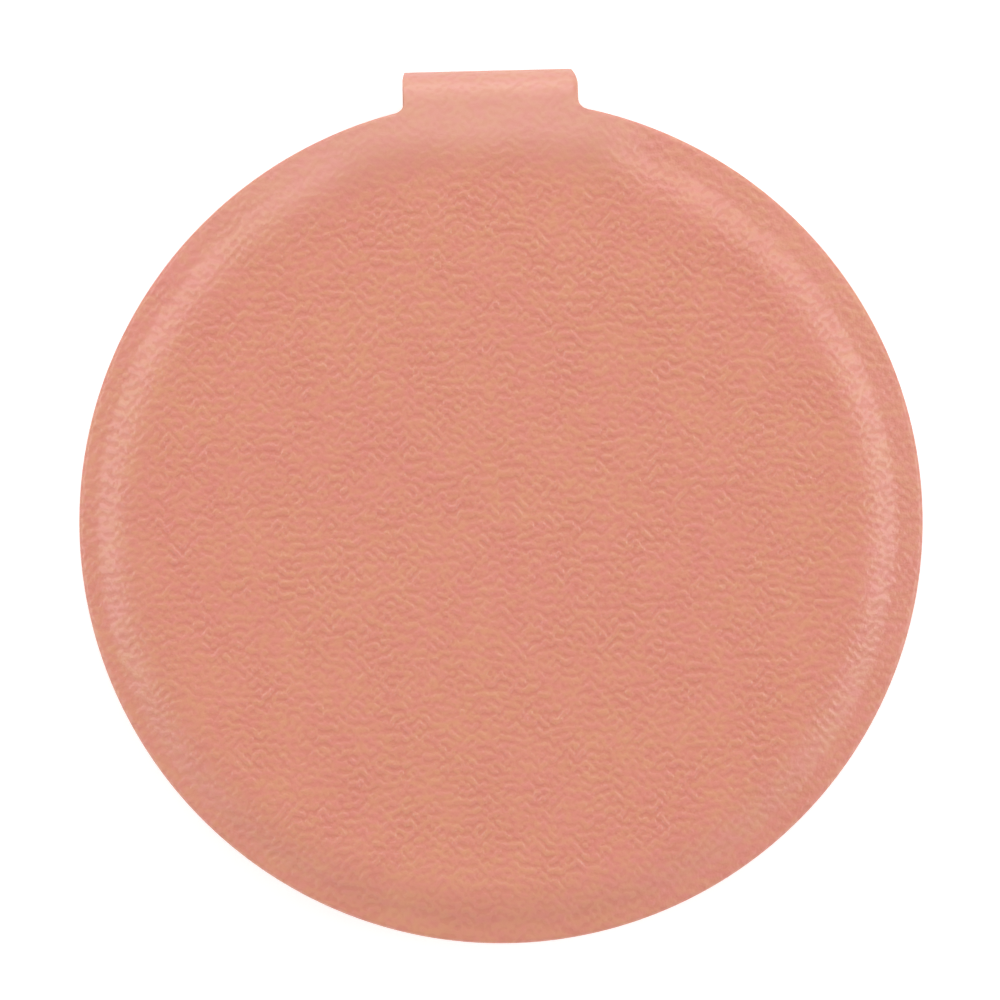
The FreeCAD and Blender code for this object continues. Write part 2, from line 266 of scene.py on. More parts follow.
def tab_slope(reach):
    """Slope of the leather in line with the hinge: the tab's own, and past the disc's edge the fold's."""
    return np.arcsin(np.clip(np.sin(TAB_SLOPE) + (reach - FOLD_START) / FOLD_ARC, np.sin(TAB_SLOPE), 1.0))


def tab_height(reach):
    """Height of the leather in line with the hinge: crest arc, straight slope, then the fold's arc."""
    along_crest = np.clip(reach - TAB_CREST_START, 0.0, TAB_CREST_END - TAB_CREST_START)
    crest = TAB_CREST_ARC - np.sqrt(TAB_CREST_ARC**2 - along_crest**2)
    line = np.clip(reach - TAB_CREST_END, 0.0, FOLD_START - TAB_CREST_END) * np.tan(TAB_SLOPE)
    fold = FOLD_ARC * (np.cos(TAB_SLOPE) - np.cos(tab_slope(reach)))
    return crest + line + fold


def ripple(x, y, seed):
    """Slight unevenness of the padding, inwards only: seeded sine waves, added up and lifted above 0."""
    dice = np.random.default_rng(seed)
    lengths = dice.uniform(*RIPPLE_LENGTHS, RIPPLE_COUNT)
    turns = dice.uniform(0.0, np.pi, RIPPLE_COUNT)
    phases = dice.uniform(0.0, 2 * np.pi, RIPPLE_COUNT)
    depths = lengths * dice.uniform(*RIPPLE_WEIGHTS, RIPPLE_COUNT)
    total = np.zeros(np.broadcast(x, y).shape)
    for length, turn, phase, depth in zip(lengths, turns, phases, depths):
        total += depth * np.sin(2 * np.pi * (x * np.cos(turn) + y * np.sin(turn)) / length + phase)
    return RIPPLE_DEPTH * (0.5 + 0.5 * total / depths.sum())


def tab_share(turn):
    """How far the tab's form holds, 1 at the tab and 0 far from it, by the turn from it, -pi to pi."""
    return 1 - smooth_step(turn, *TAB_SPREAD_RIGHT) - smooth_step(-turn, *TAB_SPREAD_LEFT)


def leather_stretch(radius, angle):
    """How far the leather is stretched: not on the crown, in part over the shoulder, most at the tab."""
    turn = (angle + np.pi) % (2 * np.pi) - np.pi
    over = smooth_step(radius, CREST_START - STRETCH_FADE, CREST_END)
    return over * (RIM_STRETCH + (TAB_STRETCH - RIM_STRETCH) * tab_share(turn))


def leather_height(leaf, radius, angle):
    """Height over the disc, with angle counted from the hinge.

    The shoulder's height, taken round the leaf's own crown middle, and the tab's are mixed by angle, and
    the crown is uneven. The tab's reach is counted straight along the hinge's line at the tab and turns
    into the radius to both sides of it. At the front the margin falls more steeply.
    """
    x = radius * np.sin(angle)
    y = radius * np.cos(angle)
    shift_x, shift_y = CROWN_SHIFTS[leaf]
    crown_radius = np.hypot(x - shift_x, y - shift_y)
    turn = (angle + np.pi) % (2 * np.pi) - np.pi
    share = tab_share(turn)
    bowed = smooth_step(np.abs(turn), FOOT_ANGLE, 2 * FOOT_ANGLE)
    height = (1 - share) * shoulder_height(crown_radius) + share * tab_height(y + bowed * (radius - y))
    from_front = np.abs((angle - FRONT_TURN + np.pi) % (2 * np.pi) - np.pi)
    front_share = 1 - smooth_step(from_front, *FRONT_SPREAD)
    fall = np.clip(radius - CREST_END, 0.0, None) * np.tan(FRONT_SLOPE) * front_share
    calm = 1 - smooth_step(radius, CREST_START - RIPPLE_FADE, CREST_END)
    return height + fall + calm * ripple(x, y, SEEDS[leaf])


# The pieces

def leather_sheet(leaf, material):
    """One leaf's outer leather: crown, shoulder, the rim's wall and, at the hinge, half of the fold.

    The outer face is a polar grid with the heights above. Past its last ring the columns away from the
    hinge turn over the rim and down the wall, and those at the hinge run on through the tab, narrow along
    the root fillets and turn round the fold to the middle of its back, where the corners are drawn in. One
    border of the tab is pared down. The inner face follows the outer one at the leather's thickness, and
    strips of quads close the cut edges.
    """
    blank = Blank()
    even = np.linspace(-1.0, 1.0, TAB_COLUMNS + 1)
    tab_angles = FOOT_ANGLE * even * (1 + TAB_CROWDING - TAB_CROWDING * even**2)
    rim_angles = np.linspace(FOOT_ANGLE, 2 * np.pi - FOOT_ANGLE, RIM_COLUMNS + 1)
    angles = np.concatenate([tab_angles[:-1], rim_angles[:-1]])
    tab = np.arange(TAB_COLUMNS + 1)
    rim = np.append(np.arange(TAB_COLUMNS, len(angles)), 0)

    def polar_face(radii, thickness, depth):
        """A grid of rings round a middle point, pushed inwards by a thickness that can change by ring."""
        radius = radii[:, None]
        x = radius * np.sin(angles)
        y = radius * np.cos(angles)
        height = leather_height(leaf, radius, angles) + thickness[:, None]
        rings = blank.add(x, y, height, depth=depth, stretch=leather_stretch(radius, angles))
        middle = blank.add(0.0, 0.0, leather_height(leaf, 0.0, 0.0) + thickness[0], depth=depth)
        blank.fan(middle, rings[0])
        blank.skin(*[closed(ring) for ring in rings])
        return rings[-1]

    crown_radii = np.linspace(FIRST_RING, CREST_START, CROWN_RINGS)[:-1]
    shoulder_radii = np.linspace(CREST_START, RING_RADIUS, SHOULDER_RINGS)
    outer_radii = np.concatenate([crown_radii, shoulder_radii])
    outer_ring = polar_face(outer_radii, np.zeros(len(outer_radii)), 0.0)
    inner_crown_radii = np.linspace(INNER_FIRST_RING, CREST_START, INNER_CROWN_RINGS)[:-1]
    inner_shoulder_radii = np.linspace(CREST_START, WALL_INSIDE, INNER_SHOULDER_RINGS)
    inner_radii = np.concatenate([inner_crown_radii, inner_shoulder_radii])
    pressed = smooth_step(inner_radii, CREST_END, FOOT_END)
    thickness = LEATHER_THICKNESS + pressed * (MARGIN_THICKNESS - LEATHER_THICKNESS)
    inner_ring = polar_face(inner_radii, thickness, RAW_SIDE)

    # the rim: a rounding, the wall and the eased cut edge, and inside them the wall's inner face
    turn = np.linspace(MARGIN_SLOPE, np.pi / 2, ROUNDING_ROWS)[1:]
    ring_heights = blank.points[outer_ring[rim], 2]
    round_radii = DISC_RADIUS - RIM_ROUNDING * (1 - np.sin(turn))
    round_rises = RIM_ROUNDING * (np.cos(MARGIN_SLOPE) - np.cos(turn))
    wall_shares = np.linspace(0.0, 1.0, WALL_ROWS)[1:, None]
    wall_top = ring_heights + round_rises[-1]
    wall_heights = wall_top + wall_shares * (LINING_HEIGHT - CUT_EASE - wall_top)
    cut_heights = np.full((1, len(rim)), LINING_HEIGHT)
    heights = np.vstack([ring_heights + round_rises[:, None], wall_heights, cut_heights])
    radii = np.concatenate([round_radii, np.full(len(wall_shares), DISC_RADIUS), [DISC_RADIUS - CUT_EASE]])
    radius_steps = np.diff(radii, prepend=RING_RADIUS)[:, None]
    height_steps = np.diff(heights, axis=0, prepend=ring_heights[None])
    flat_radii = RING_RADIUS + np.cumsum(np.hypot(radius_steps, height_steps), axis=0)
    sines, cosines = np.sin(angles[rim]), np.cos(angles[rim])
    outer_rim = blank.add(
        radii[:, None] * sines,
        radii[:, None] * cosines,
        heights,
        flat_radii * sines,
        flat_radii * cosines,
        stretch=leather_stretch(radii[:, None], angles[rim]),
    )
    inner_top = blank.points[inner_ring[rim], 2]
    inner_shares = np.linspace(0.0, 1.0, len(radii) + 1)[1:, None]
    inner_rim = blank.add(
        WALL_INSIDE * sines,
        WALL_INSIDE * cosines,
        inner_top + inner_shares * (LINING_HEIGHT - inner_top),
        flat_radii * sines,
        flat_radii * cosines,
        RAW_SIDE,
    )
    blank.skin(outer_ring[rim], outer_rim)
    blank.skin(inner_ring[rim], inner_rim)
    blank.skin(outer_rim[-1], inner_rim[-1])

    # the tab's root: rows that start on the ring and straighten while the border follows the root fillets
    across = np.sin(angles[tab]) / np.sin(FOOT_ANGLE)
    sweep = (1 - np.cos(angles[tab])) / (1 - np.cos(FOOT_ANGLE))
    spoke = np.array([np.sin(FOOT_ANGLE), np.cos(FOOT_ANGLE)])
    spoke_radii = np.linspace(RING_RADIUS, DISC_RADIUS, SPOKE_ROWS)[1:]
    fillet_turns = np.linspace(np.pi / 2 - FOOT_ANGLE, 0.0, FILLET_ROWS)[1:]
    border_x = np.concatenate([spoke_radii * spoke[0], FILLET_X - TAB_FILLET * np.cos(fillet_turns)])
    border_y = np.concatenate([spoke_radii * spoke[1], FILLET_Y - TAB_FILLET * np.sin(fillet_turns)])
    progress = np.linspace(0.0, 1.0, len(border_y) + 1)[1:]
    middle_y = RING_RADIUS + progress * (FILLET_Y - RING_RADIUS)
    root_x = border_x[:, None] * across
    root_y = middle_y[:, None] + (border_y - middle_y)[:, None] * sweep
    ring_y = blank.points[outer_ring[tab], 1]
    ring_lift = blank.points[outer_ring[tab], 2] - tab_height(ring_y)
    root_height = tab_height(root_y) + ring_lift * (1 - smooth_step(progress, 0.0, 1.0))[:, None]

    # the fold: rows of even turn to the back's upright, then the last row on the middle of the back
    fold_turns = np.linspace(tab_slope(FILLET_Y), np.pi / 2, FOLD_ROWS)[1:]
    fold_reach = np.append(FOLD_START + FOLD_ARC * (np.sin(fold_turns) - np.sin(TAB_SLOPE)), FOLD_REACH)
    fold_rise = np.append(FOLD_DROP + FOLD_ARC * (np.cos(TAB_SLOPE) - np.cos(fold_turns)), MIDDLE_HEIGHT)
    fold_x = np.tile(HALF_STRAP * across, (len(fold_reach), 1))
    for side, inset, length in TAB_CORNERS:
        drawn_in = inset * np.clip((fold_reach - FOLD_REACH + length) / length, 0.0, 1.0) ** 2
        fold_x -= side * drawn_in[:, None] * smooth_step(side * across, CORNER_START_SHARE, 1.0)
    fold_y = np.broadcast_to(fold_reach[:, None], fold_x.shape)
    fold_height = np.broadcast_to(fold_rise[:, None], fold_x.shape)

    tab_x = np.vstack([root_x, fold_x])
    tab_y = np.vstack([root_y, fold_y])
    tab_z = np.vstack([root_height, fold_height])
    steps_out = np.diff(tab_y, axis=0, prepend=ring_y[None])
    steps_down = np.diff(tab_z, axis=0, prepend=tab_z[:1])
    flat_y = ring_y + np.cumsum(np.hypot(steps_out, steps_down), axis=0)
    slope = tab_slope(tab_y)
    fade_in = smooth_step(progress, PARED_START_SHARE, 1.0)
    fade_out = 1 - smooth_step(fold_reach, FOLD_REACH - 2 * PARED_WIDTH, FOLD_REACH)
    fade = np.append(fade_in, fade_out)[:, None]
    pared_share = fade * smooth_step(tab_x - tab_x[:, -1:], -PARED_WIDTH, 0.0)
    pared = PARED_DEPTH * pared_share
    outer_tab = blank.add(
        tab_x,
        tab_y - pared * np.sin(slope),
        tab_z + pared * np.cos(slope),
        tab_x,
        flat_y,
        PARED_MARK * pared_share,
        TAB_STRETCH,
    )
    inner_tab = blank.add(
        tab_x,
        tab_y - LEATHER_THICKNESS * np.sin(slope),
        tab_z + LEATHER_THICKNESS * np.cos(slope),
        tab_x,
        flat_y,
        RAW_SIDE,
    )
    blank.skin(outer_ring[tab], outer_tab)
    blank.skin(inner_ring[tab], inner_tab)
    blank.skin(outer_tab[-1], inner_tab[-1])

    # the cut edges that run from the ring along the tab, and down the ends of the wall
    for column, wall_column in ((0, -1), (-1, 0)):
        outer_edge = np.append(outer_ring[tab[column]], outer_tab[:, column])
        inner_edge = np.append(inner_ring[tab[column]], inner_tab[:, column])
        blank.skin(outer_edge, inner_edge)
        outer_end = np.append(outer_ring[tab[column]], outer_rim[:, wall_column])
        inner_end = np.append(inner_ring[tab[column]], inner_rim[:, wall_column])
        blank.skin(outer_end, inner_end)
    return blank.make(f"{leaf}_leather", leaf, material)


def turned(name, leaf, material, section, angles=None, stretch=0.0):
    """A closed section of (radius, height) points carried round the leaf's axis.

    With angles given it runs along that arc only, with capped ends, and a height can change by angle.
    """
    blank = Blank()
    whole = angles is None
    if whole:
        angles = np.linspace(0.0, 2 * np.pi, ROUND_COLUMNS, endpoint=False)
    radius = np.array([point[0] for point in section])[:, None]
    height = np.array([np.broadcast_to(point[1], angles.shape) for point in section])
    rows = blank.add(radius * np.sin(angles), radius * np.cos(angles), height, stretch=stretch)
    loops = np.vstack([rows, rows[:1]])
    blank.skin(*[closed(row) for row in loops] if whole else loops)
    if not whole:
        half = len(rows) // 2
        for column in (0, -1):
            blank.skin(rows[:half, column], rows[: half - 1 : -1, column])
    return blank.make(name, leaf, material)


def turned_disc(name, leaf, material, section):
    """A round solid: an open section of (radius, height) points that starts and ends on the leaf's axis."""
    blank = Blank()
    angles = np.linspace(0.0, 2 * np.pi, ROUND_COLUMNS, endpoint=False)
    radius, height = np.array(section[1:-1]).T[:, :, None]
    rows = blank.add(radius * np.sin(angles), radius * np.cos(angles), height)
    blank.skin(*[closed(row) for row in rows])
    blank.fan(blank.add(0.0, 0.0, section[0][1]), rows[0])
    blank.fan(blank.add(0.0, 0.0, section[-1][1]), rows[-1])
    return blank.make(name, leaf, material)


def quarter_round(centre, rounding, start, end, count=6):
    """Points of (radius, height) on an arc round a centre, from one angle to another in degrees."""
    turn = np.radians(np.linspace(start, end, count))
    return np.stack([centre[0] + rounding * np.cos(turn), centre[1] + rounding * np.sin(turn)], -1)


def lining_ring(leaf, material):
    """The thin leather ring over frame and glass: a flat band, rounded outside and at the window."""
    outer_centre = (LINING_RADIUS - LINING_ROUNDING, LEAF_HEIGHT - LINING_ROUNDING)
    window_centre = (WINDOW_RADIUS + WINDOW_ROUNDING, LEAF_HEIGHT - WINDOW_ROUNDING)
    section = np.vstack([
        [(LINING_RADIUS, LINING_HEIGHT)],
        quarter_round(outer_centre, LINING_ROUNDING, 0, 90),
        quarter_round(window_centre, WINDOW_ROUNDING, 90, 180),
        [(WINDOW_RADIUS, LINING_HEIGHT)],
    ])
    return turned(f"{leaf}_lining_leather", leaf, material, section)


def back_wall(leaf, material):
    """The short stretch of the cover's wall behind the fold, from under the tab to the lining.

    It leaves room for the inner ply, and beside the ply it reaches to the tab's leather.
    """
    angles = np.linspace(-FOOT_ANGLE, FOOT_ANGLE, TAB_COLUMNS + 1)
    over_ply = BOARD_HEIGHT + PLY_ROOM
    tab_underside = tab_height(DISC_RADIUS * np.cos(angles)) + LEATHER_THICKNESS / np.cos(TAB_SLOPE)
    under_tab = tab_underside + WALL_CLEARANCE
    across = DISC_RADIUS * np.abs(np.sin(angles))
    beside = smooth_step(across, HALF_PLY + WALL_CLEARANCE, HALF_PLY + PLY_SIDE_STEP)
    low = over_ply + beside * (under_tab - over_ply)
    section = [
        (WALL_INSIDE, low),
        (DISC_RADIUS, low),
        (DISC_RADIUS, LINING_HEIGHT - CUT_EASE),
        (DISC_RADIUS - CUT_EASE, LINING_HEIGHT),
        (WALL_INSIDE + CUT_EASE, LINING_HEIGHT),
        (WALL_INSIDE, LINING_HEIGHT - CUT_EASE),
    ]
    return turned(f"{leaf}_back_wall", leaf, material, section, angles, TAB_STRETCH)


def fold_ply(leaf, material):
    """One half of the fold's inner ply, from the leaf's wall to the middle of the back.

    It follows the tab's middle line at a distance of leather and glue. Its root edge lies along the wall's
    circle, so each column starts where the offset line meets that circle.
    """
    blank = Blank()
    arc_slopes = np.linspace(TAB_SLOPE, np.pi / 2, PLY_ARC_STEPS)
    slopes = np.concatenate([np.full(PLY_LINE_STEPS, TAB_SLOPE), arc_slopes, [np.pi / 2]])
    line_reach = np.linspace(FOLD_START - PLY_LEAD, FOLD_START, PLY_LINE_STEPS + 1)[:-1]
    fold_reach = FOLD_START + FOLD_ARC * (np.sin(arc_slopes) - np.sin(TAB_SLOPE))
    reach = np.concatenate([line_reach, fold_reach, [FOLD_REACH]])
    height = np.append(tab_height(reach[:-1]), MIDDLE_HEIGHT)
    path = np.append(0.0, np.cumsum(np.hypot(np.diff(reach), np.diff(height))))
    x = np.linspace(-HALF_PLY, HALF_PLY, PLY_COLUMNS)
    wall = np.sqrt(DISC_RADIUS**2 - x**2)
    rows = np.linspace(0.0, 1.0, PLY_ROWS)[:, None]
    faces = []
    for offset in (LEATHER_THICKNESS + PLY_GLUE, LEATHER_THICKNESS + PLY_GLUE + PLY_THICKNESS):
        offset_reach = reach - offset * np.sin(slopes)
        offset_height = height + offset * np.cos(slopes)
        start = np.interp(wall, offset_reach[:-1], path[:-1])
        along = start + rows * (path[-1] - start)
        y = np.interp(along, path, offset_reach)
        z = np.interp(along, path, offset_height)
        faces.append(blank.add(np.broadcast_to(x, y.shape), y, z, np.broadcast_to(x, y.shape), along))
    outer, inner = faces
    blank.skin(outer)
    blank.skin(inner)
    for edge in (np.s_[0], np.s_[-1], np.s_[:, 0], np.s_[:, -1]):
        blank.skin(outer[edge], inner[edge])
    return blank.make(f"{leaf}_fold_ply", leaf, material)


def foam_cushion(leaf, material):
    """The pad under the leather: a flat back, a crowned face and a rounded, drawn-in edge.

    Round the axis the section is a flat line, a quarter of a superellipse and the flat back.
    """
    low = FOAM_HEIGHT + RIPPLE_DEPTH + FOAM_CLEARANCE
    high = BOARD_HEIGHT - FOAM_CLEARANCE
    edge = np.linspace(0.0, np.pi / 2, FOAM_EDGE_STEPS)
    radius = FOAM_RADIUS - FOAM_EDGE_WIDTH * (1 - np.sin(edge) ** FOAM_EDGE_POWER)
    height = low + (high - low) * FOAM_EDGE_SHARE * (1 - np.cos(edge) ** FOAM_EDGE_POWER)
    section = [(0.0, low)]
    section += [(share * radius[0], low) for share in np.linspace(0.1, 0.9, 9)]
    section += list(zip(radius, height))
    section += [(FOAM_RADIUS, high - FOAM_CLEARANCE), (FOAM_RADIUS - FOAM_CLEARANCE, high)]
    section += [(share * FOAM_RADIUS, high) for share in (0.8, 0.6, 0.4, 0.2)]
    section += [(0.0, high)]
    return turned_disc(f"{leaf}_foam_cushion", leaf, material, section)


def mirror_glass(leaf, material):
    """The mirror: a glass disc with a ground bevel, and in the base a face hollowed to part of a sphere."""
    edge = MIRROR_RADIUS
    face_radii = np.linspace(0.0, GRIND_EDGE, GLASS_RINGS)
    sag = np.sqrt(GRIND_RADIUS**2 - face_radii**2) - np.sqrt(GRIND_RADIUS**2 - GRIND_EDGE**2)
    hollow = sag if leaf == "base" else np.zeros_like(sag)
    section = list(zip(face_radii, LINING_HEIGHT - hollow))
    section += [(edge - GLASS_BEVEL, LINING_HEIGHT), (edge, LINING_HEIGHT - GLASS_BEVEL)]
    section += [(edge, MIRROR_HEIGHT), (0.5 * edge, MIRROR_HEIGHT), (0.0, MIRROR_HEIGHT)]
    return turned_disc(f"{leaf}_mirror_glass", leaf, material, section)


# Finishes

def new_finish(name):
    """An empty material with its tree and its shader."""
    material = bpy.data.materials.new(name)
    material.use_nodes = True
    tree = material.node_tree
    return material, tree, tree.nodes["Principled BSDF"]


def add_node(tree, kind, inputs=None, **settings):
    """Add a node, set its own settings, and set or link its inputs by name or number."""
    node = tree.nodes.new(kind)
    for name, value in settings.items():
        setattr(node, name, value)
    for name, value in (inputs or {}).items():
        if isinstance(value, bpy.types.NodeSocket):
            tree.links.new(value, node.inputs[name])
        else:
            node.inputs[name].default_value = value
    return node


def calculate(tree, operation, first, second=0.0, third=0.0):
    """One number worked out from others."""
    return add_node(tree, "ShaderNodeMath", {0: first, 1: second, 2: third}, operation=operation).outputs[0]


def ramp(tree, value, low, high, to_low=0.0, to_high=1.0):
    """A number carried smoothly from one range to another and held at its ends."""
    inputs = {"Value": value, "From Min": low, "From Max": high, "To Min": to_low, "To Max": to_high}
    return add_node(tree, "ShaderNodeMapRange", inputs, interpolation_type="SMOOTHSTEP").outputs[0]


def mix_colours(tree, share, first, second):
    """Two colours mixed by a share."""
    node = add_node(tree, "ShaderNodeMix", data_type="RGBA")
    for socket, value in ((node.inputs[0], share), (node.inputs[6], first), (node.inputs[7], second)):
        if isinstance(value, bpy.types.NodeSocket):
            tree.links.new(value, socket)
        else:
            socket.default_value = value
    return node.outputs[2]


def noise(tree, place, scale, detail=2.0, roughness=0.5):
    """Soft noise over a place, as a number."""
    inputs = {"Vector": place, "Scale": scale, "Detail": detail, "Roughness": roughness}
    return add_node(tree, "ShaderNodeTexNoise", inputs).outputs["Fac"]


# The grain: sizes in spacings, then weights
GRAIN_SQUEEZE = (1.35, 1.2)
DEPTH_SQUEEZE = 0.3
GRAIN_SHIFT = 7.0
HALF_ROW = 0.65
ROW_WEIGHT = -0.375
SWELLING_WEIGHT = 1.6
PORE_SCALE = 3.5
PORE_WEIGHT = 0.65
CREASE_RANGE = (-0.03, 0.27)
PATCH_SQUEEZE = (0.5, 0.75)
PATCH_SHIFT = 3.0
PATCH_RANGE = (0.32, 0.68)


def wrinkled_grain():
    """A group that gives leather grain: small swellings side by side in short wavy rows.

    The place is divided by the grain's spacing. The swellings are a noise less part of the same noise moved
    half a row up and half a row down, which leaves ridges that lie across the second coordinate. A fine
    noise gives the pores. Crease is 1 in the hollows, and Patch changes slowly between the leather's tones.
    """
    tree = bpy.data.node_groups.new("wrinkled_grain", "ShaderNodeTree")
    face = tree.interface
    face.new_socket("Place", in_out="INPUT", socket_type="NodeSocketVector")
    face.new_socket("Spacing", in_out="INPUT", socket_type="NodeSocketFloat").default_value = 0.65 * MM
    for name in ("Height", "Crease", "Patch"):
        face.new_socket(name, in_out="OUTPUT", socket_type="NodeSocketFloat")
    given = tree.nodes.new("NodeGroupInput").outputs
    result = tree.nodes.new("NodeGroupOutput").inputs

    def moved(across, along, shift, rise=0.0):
        """The place in spacings, squeezed by two factors and moved, and by a rise along the second."""
        inputs = {0: place, 1: (across, along, DEPTH_SQUEEZE), 2: (shift, shift + rise * along, shift)}
        return add_node(tree, "ShaderNodeVectorMath", inputs, operation="MULTIPLY_ADD").outputs[0]

    inverse = calculate(tree, "DIVIDE", 1.0, given["Spacing"])
    scale = add_node(tree, "ShaderNodeVectorMath", {0: given["Place"], "Scale": inverse}, operation="SCALE")
    place = scale.outputs[0]
    rises = (0.0, HALF_ROW, -HALF_ROW)
    places = [moved(*GRAIN_SQUEEZE, GRAIN_SHIFT, rise) for rise in rises]
    own, above, below = (noise(tree, place_moved, 1.0, 0.0) for place_moved in places)
    beside = calculate(tree, "ADD", above, below)
    ridges = calculate(tree, "MULTIPLY_ADD", beside, ROW_WEIGHT, own)
    swellings = calculate(tree, "MULTIPLY", ridges, SWELLING_WEIGHT)
    pores = noise(tree, place, PORE_SCALE, 1.0)
    tree.links.new(calculate(tree, "MULTIPLY_ADD", pores, PORE_WEIGHT, swellings), result["Height"])
    tree.links.new(ramp(tree, swellings, *CREASE_RANGE, 1.0, 0.0), result["Crease"])
    patches = noise(tree, moved(*PATCH_SQUEEZE, PATCH_SHIFT), 1.0, 2.0, 0.6)
    tree.links.new(ramp(tree, patches, *PATCH_RANGE), result["Patch"])
    return tree


GRAIN = wrinkled_grain()

# What both leathers share: noise scales to a metre, then weights
DRESSING_IOR = 1.75
CLOUD_SCALE = 260.0
BROAD_SCALE = 90.0
FIBRE_SCALE = 9000.0
SOFT_RANGE = (0.3, 0.7)
CUT_RANGE = (0.12, 0.3)
LEAST_RELIEF = 0.75
BROAD_WEIGHT = 0.3
PATCH_WEIGHT = 0.7
# share of the shade painted into the grain's creases
CREASE_SHADE_WEIGHT = 0.52
CLOUD_WEIGHT = 0.14
PALE_WEIGHT = 0.42
CREASE_ROUGHNESS = 0.10
CUT_ROUGHNESS = 0.3


def leather_finish(name, tan, pink, painted_crease_shade, pale, backing, spacing, depth, roughness, shine):
    """Grained leather: two close tones in soft patches, shade painted into the creases, and a paler fibrous
    cut and back.

    Its dressing gives a satin shine. Broad clouds change the tone and the grain's relief a little, and
    where the leather is stretched the grain is shallower and the tone pale.
    """
    material, tree, shader = new_finish(name)
    shader.inputs["IOR"].default_value = DRESSING_IOR
    shader.inputs["Specular IOR Level"].default_value = shine
    place = add_node(tree, "ShaderNodeAttribute", attribute_name="flat_place").outputs["Vector"]
    cut = add_node(tree, "ShaderNodeAttribute", attribute_name="cut_depth").outputs["Fac"]
    stretch = add_node(tree, "ShaderNodeAttribute", attribute_name="stretch").outputs["Fac"]
    cloud = ramp(tree, noise(tree, place, CLOUD_SCALE, 2.0), *SOFT_RANGE)
    unstretched = calculate(tree, "SUBTRACT", 1.0, stretch)
    relief = calculate(tree, "MULTIPLY", unstretched, ramp(tree, cloud, 0.0, 1.0, LEAST_RELIEF, 1.0))
    grain = add_node(tree, "ShaderNodeGroup", node_tree=GRAIN)
    grain.inputs["Spacing"].default_value = spacing
    tree.links.new(place, grain.inputs["Place"])
    broad = ramp(tree, noise(tree, place, BROAD_SCALE, 2.0), *SOFT_RANGE)
    patch = calculate(tree, "MULTIPLY", grain.outputs["Patch"], PATCH_WEIGHT)
    tone = calculate(tree, "MULTIPLY_ADD", broad, BROAD_WEIGHT, patch)
    land = mix_colours(tree, tone, tan, pink)
    # Painted shade: the grain's creases are darkened towards a shade colour, and broad clouds add darker
    # tone at random
    crease_shade_weight = calculate(tree, "MULTIPLY", relief, CREASE_SHADE_WEIGHT)
    painted_shade_and_cloud = calculate(tree, "MULTIPLY", grain.outputs["Crease"], crease_shade_weight)
    painted_shade_and_cloud = calculate(tree, "MULTIPLY_ADD", cloud, CLOUD_WEIGHT, painted_shade_and_cloud)
    grained = mix_colours(tree, painted_shade_and_cloud, land, painted_crease_shade)
    finish = mix_colours(tree, calculate(tree, "MULTIPLY", stretch, PALE_WEIGHT), grained, pale)
    fibres = mix_colours(tree, noise(tree, place, FIBRE_SCALE, 2.0), backing, tan)
    side = ramp(tree, cut, *CUT_RANGE)
    colour = mix_colours(tree, side, finish, fibres)
    tree.links.new(colour, shader.inputs["Base Color"])
    rough = calculate(tree, "MULTIPLY_ADD", grain.outputs["Crease"], CREASE_ROUGHNESS, roughness)
    tree.links.new(calculate(tree, "MULTIPLY_ADD", side, CUT_ROUGHNESS, rough), shader.inputs["Roughness"])
    bump = {"Height": grain.outputs["Height"], "Distance": depth, "Strength": relief}
    tree.links.new(add_node(tree, "ShaderNodeBump", bump).outputs["Normal"], shader.inputs["Normal"])
    return material


def speckled_finish(name, first, second, scale, depth, roughness):
    """A plain material with a fine speckle: two tones mixed by noise, with the same noise as relief."""
    material, tree, shader = new_finish(name)
    place = add_node(tree, "ShaderNodeTexCoord").outputs["Object"]
    fine = noise(tree, place, scale, 4.0, 0.65)
    share = ramp(tree, fine, 0.35, 0.65)
    tree.links.new(mix_colours(tree, share, first, second), shader.inputs["Base Color"])
    tree.links.new(calculate(tree, "MULTIPLY_ADD", share, 0.12, roughness), shader.inputs["Roughness"])
    bump = add_node(tree, "ShaderNodeBump", {"Height": fine, "Distance": depth})
    tree.links.new(bump.outputs["Normal"], shader.inputs["Normal"])
    return material


def foam_finish(name):
    """Fine-celled foam: round cells whose middles are darkened, painted shade in the cells' hollows."""
    material, tree, shader = new_finish(name)
    place = add_node(tree, "ShaderNodeTexCoord").outputs["Object"]
    cells = add_node(tree, "ShaderNodeTexVoronoi", {"Vector": place, "Scale": 3200.0})
    open_cell = ramp(tree, cells.outputs["Distance"], 0.1, 0.6)
    # Painted shade: the colour darkens towards each cell's middle, where the relief is lowest
    colour = mix_colours(tree, open_cell, (0.62, 0.59, 0.52, 1.0), (0.83, 0.81, 0.75, 1.0))
    tree.links.new(colour, shader.inputs["Base Color"])
    tree.links.new(calculate(tree, "MULTIPLY_ADD", open_cell, -0.1, 0.9), shader.inputs["Roughness"])
    bump = add_node(tree, "ShaderNodeBump", {"Height": open_cell, "Distance": 0.08 * MM})
    tree.links.new(bump.outputs["Normal"], shader.inputs["Normal"])
    return material


def silvered_finish(name, colour, clouded, scale, roughness, spread):
    """Silvered glass or plated metal: a mirror whose tone and polish change faintly over the surface."""
    material, tree, shader = new_finish(name)
    shader.inputs["Metallic"].default_value = 1.0
    place = add_node(tree, "ShaderNodeTexCoord").outputs["Object"]
    cloud = ramp(tree, noise(tree, place, scale, 4.0, 0.6), 0.3, 0.75)
    tree.links.new(mix_colours(tree, cloud, colour, clouded), shader.inputs["Base Color"])
    tree.links.new(calculate(tree, "MULTIPLY_ADD", cloud, spread, roughness), shader.inputs["Roughness"])
    return material


